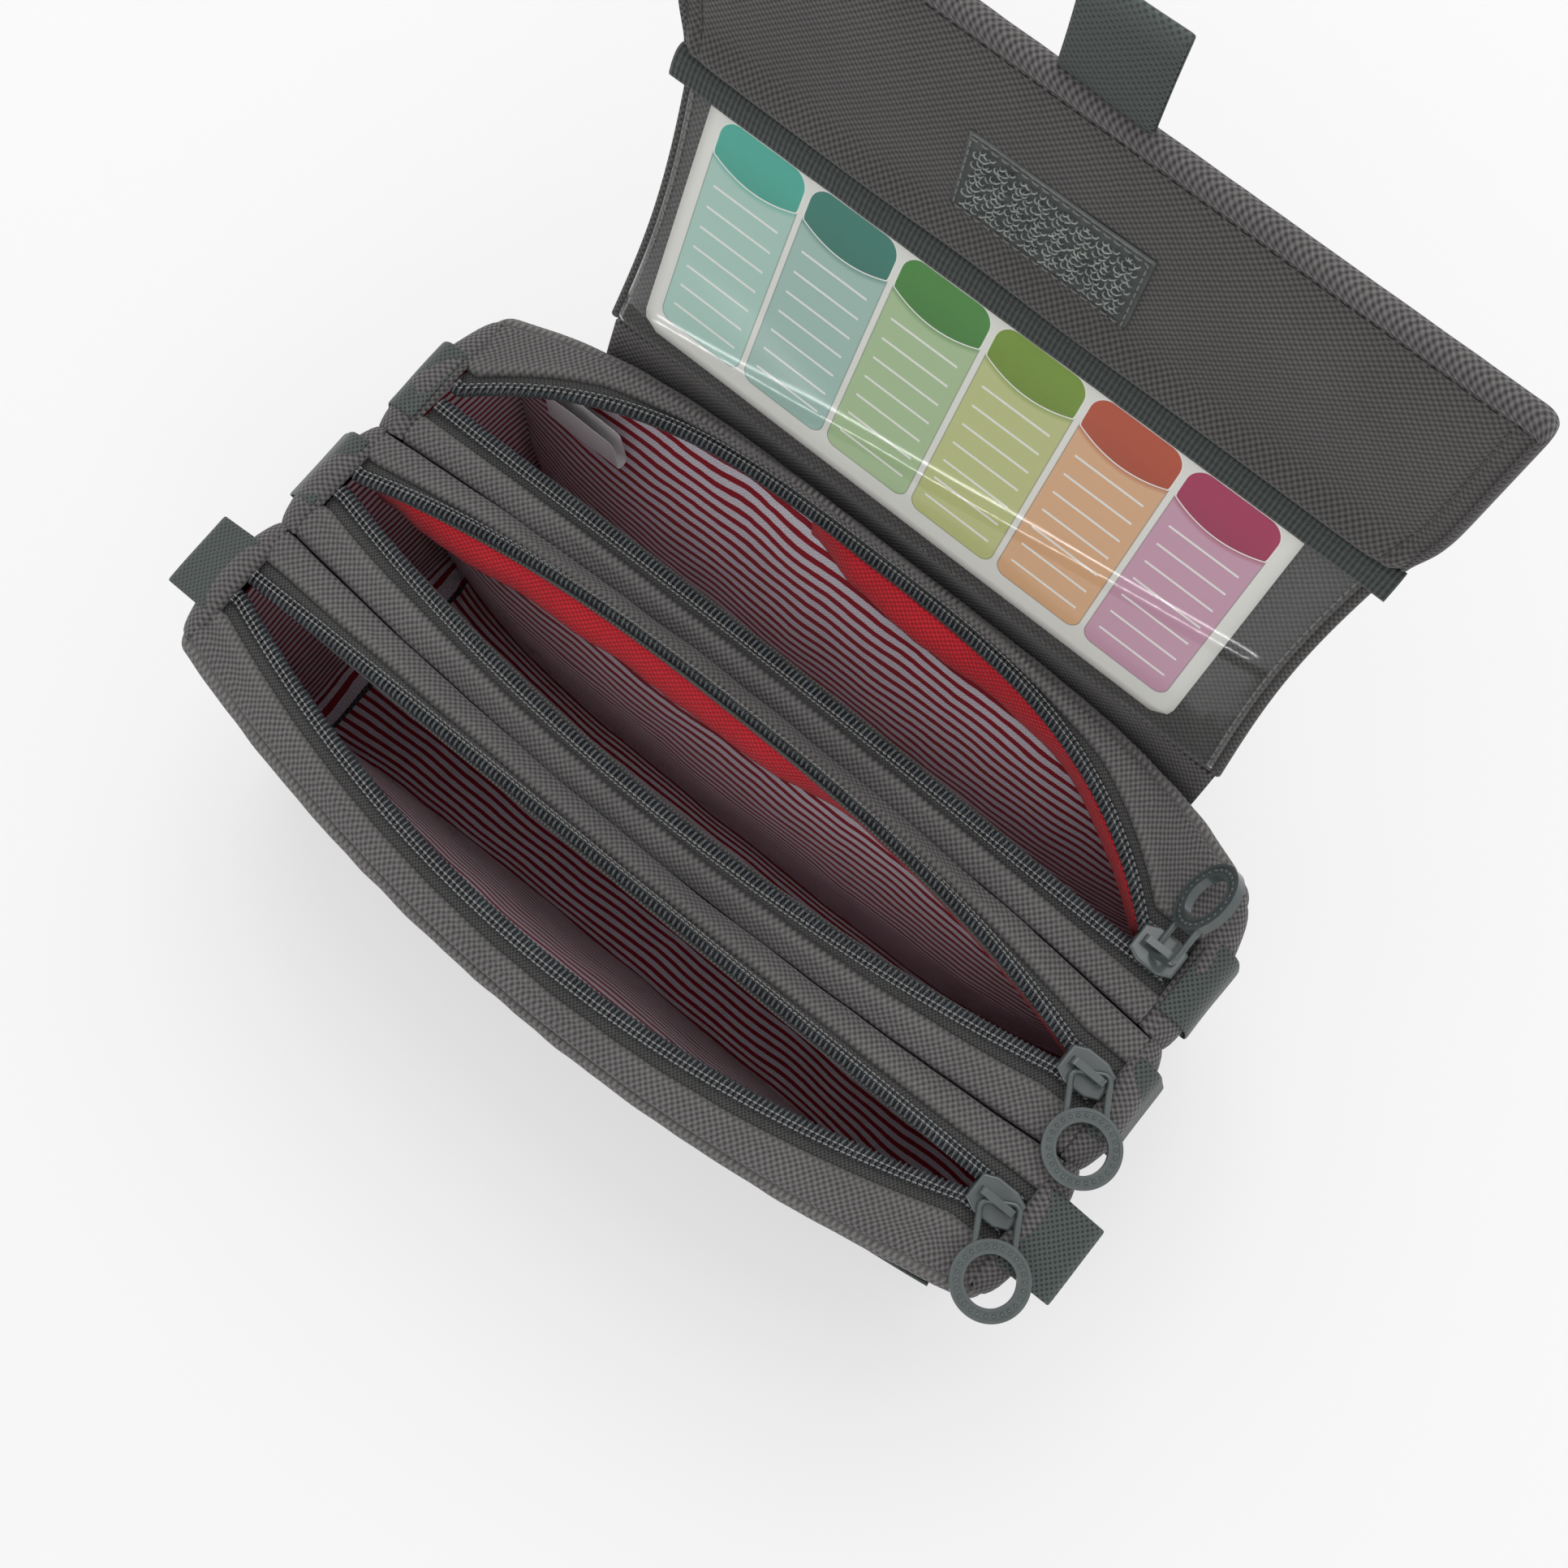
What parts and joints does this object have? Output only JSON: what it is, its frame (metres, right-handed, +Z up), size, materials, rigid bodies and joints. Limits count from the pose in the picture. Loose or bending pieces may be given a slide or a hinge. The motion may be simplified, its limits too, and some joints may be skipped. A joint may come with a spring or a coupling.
{
  "type": "pencil case",
  "caption": "Grey fabric pencil case with three zipped pouches, striped lining and a fold-back flap holding a timetable card.",
  "frame": {"origin": "middle of the underside, on the surface that the case stands on", "axes": "+X along the case towards the sliders' open ends, +Y from the front panel to the back panel with the flap, +Z up"},
  "size_m": [0.2429, 0.1801, 0.2337],
  "materials": {
    "grey_cloth": "coarse woven",
    "striped_lining": "plain weave, red stripes",
    "zip_tape": "knitted",
    "zip_coil": "satin nylon",
    "webbing": "ribbed",
    "red_facing": "twill",
    "satin_label": "satin",
    "loop_pile": "looped pile",
    "clear_hooks": "hooked",
    "printed_card": "coated",
    "clear_window": "clear film",
    "grosgrain": "ribbed",
    "flap_facing_cloth": "coarse woven",
    "foam": "soft foam",
    "painted_slider": "satin",
    "painted_pull": "satin"
  },
  "bodies": {
    "case": {"front_panel": "grey_cloth", "front_divider": "grey_cloth", "rear_divider": "grey_cloth", "back_panel": "grey_cloth", "front_gusset": "grey_cloth", "front_lining": "striped_lining", "front_front_strip": "grey_cloth", "front_front_tape": "zip_tape", "front_front_coil": "zip_coil", "front_rear_strip": "grey_cloth", "front_rear_tape": "zip_tape", "front_rear_coil": "zip_coil", "front_left_tab": "webbing", "front_right_tab": "webbing", "middle_gusset": "grey_cloth", "middle_lining": "striped_lining", "middle_front_strip": "grey_cloth", "middle_front_tape": "zip_tape", "middle_front_coil": "zip_coil", "middle_rear_strip": "grey_cloth", "middle_rear_tape": "zip_tape", "middle_rear_coil": "zip_coil", "middle_left_tab": "webbing", "middle_right_tab": "webbing", "back_gusset": "grey_cloth", "back_lining": "striped_lining", "back_front_strip": "grey_cloth", "back_front_tape": "zip_tape", "back_front_coil": "zip_coil", "back_rear_strip": "grey_cloth", "back_rear_tape": "zip_tape", "back_rear_coil": "zip_coil", "back_left_tab": "webbing", "back_right_tab": "webbing", "middle_facing": "red_facing", "back_facing": "red_facing", "care_label": "satin_label", "front_trim": "webbing", "loop_patch": "loop_pile", "flap_base": "grey_cloth"},
    "flap": {"inner_flap": "flap_facing_cloth", "card": "printed_card", "window": "clear_window", "fold_ribbon": "grosgrain"},
    "flap_tip": {"outer_facing": "flap_facing_cloth", "outer_foam": "foam", "outer_cover": "grey_cloth", "hook_patch": "clear_hooks", "pull_loop": "webbing"},
    "front_slider_body": {"front_slider": "painted_slider"},
    "front_pull_body": {"front_pull": "painted_pull"},
    "middle_slider_body": {"middle_slider": "painted_slider"},
    "middle_pull_body": {"middle_pull": "painted_pull"},
    "back_slider_body": {"back_slider": "painted_slider"},
    "back_pull_body": {"back_pull": "painted_pull"}
  },
  "joints": [
    {"name": "flap_fold", "type": "hinge", "parent": "case", "child": "flap", "pos_m": [0, 0.06469, 0.097], "axis": [1, 0, 0], "range_deg": [-86, 107]},
    {"name": "tip_fold", "type": "hinge", "parent": "flap", "child": "flap_tip", "pos_m": [0, 0.09809, 0.15852], "axis": [1, 0, 0], "range_deg": [-40, 4]},
    {"name": "front_zip", "type": "slide", "parent": "case", "child": "front_slider_body", "axis": [-1, 0, 0], "range_m": [0, 0.2014], "deforming": ["front_front_coil", "front_front_tape", "front_rear_coil", "front_rear_tape"]},
    {"name": "middle_zip", "type": "slide", "parent": "case", "child": "middle_slider_body", "axis": [-1, 0, 0], "range_m": [0, 0.1982], "deforming": ["middle_front_coil", "middle_front_tape", "middle_rear_coil", "middle_rear_tape"]},
    {"name": "back_zip", "type": "slide", "parent": "case", "child": "back_slider_body", "axis": [-1, 0, 0], "range_m": [0, 0.19116], "deforming": ["back_front_coil", "back_front_tape", "back_rear_coil", "back_rear_tape"]},
    {"name": "front_pull_swing", "type": "hinge", "parent": "front_slider_body", "child": "front_pull_body", "pos_m": [0.1007, -0.03296, 0.09605], "axis": [-0.866, -0.5, 0], "range_deg": [0, 88]},
    {"name": "middle_pull_swing", "type": "hinge", "parent": "middle_slider_body", "child": "middle_pull_body", "pos_m": [0.0991, -0.00096, 0.09605], "axis": [-0.866, -0.5, 0], "range_deg": [0, 88]},
    {"name": "back_pull_swing", "type": "hinge", "parent": "back_slider_body", "child": "back_pull_body", "pos_m": [0.09558, 0.02816, 0.09775], "axis": [1, 0, 0], "range_deg": [-3, 85]}
  ]
}
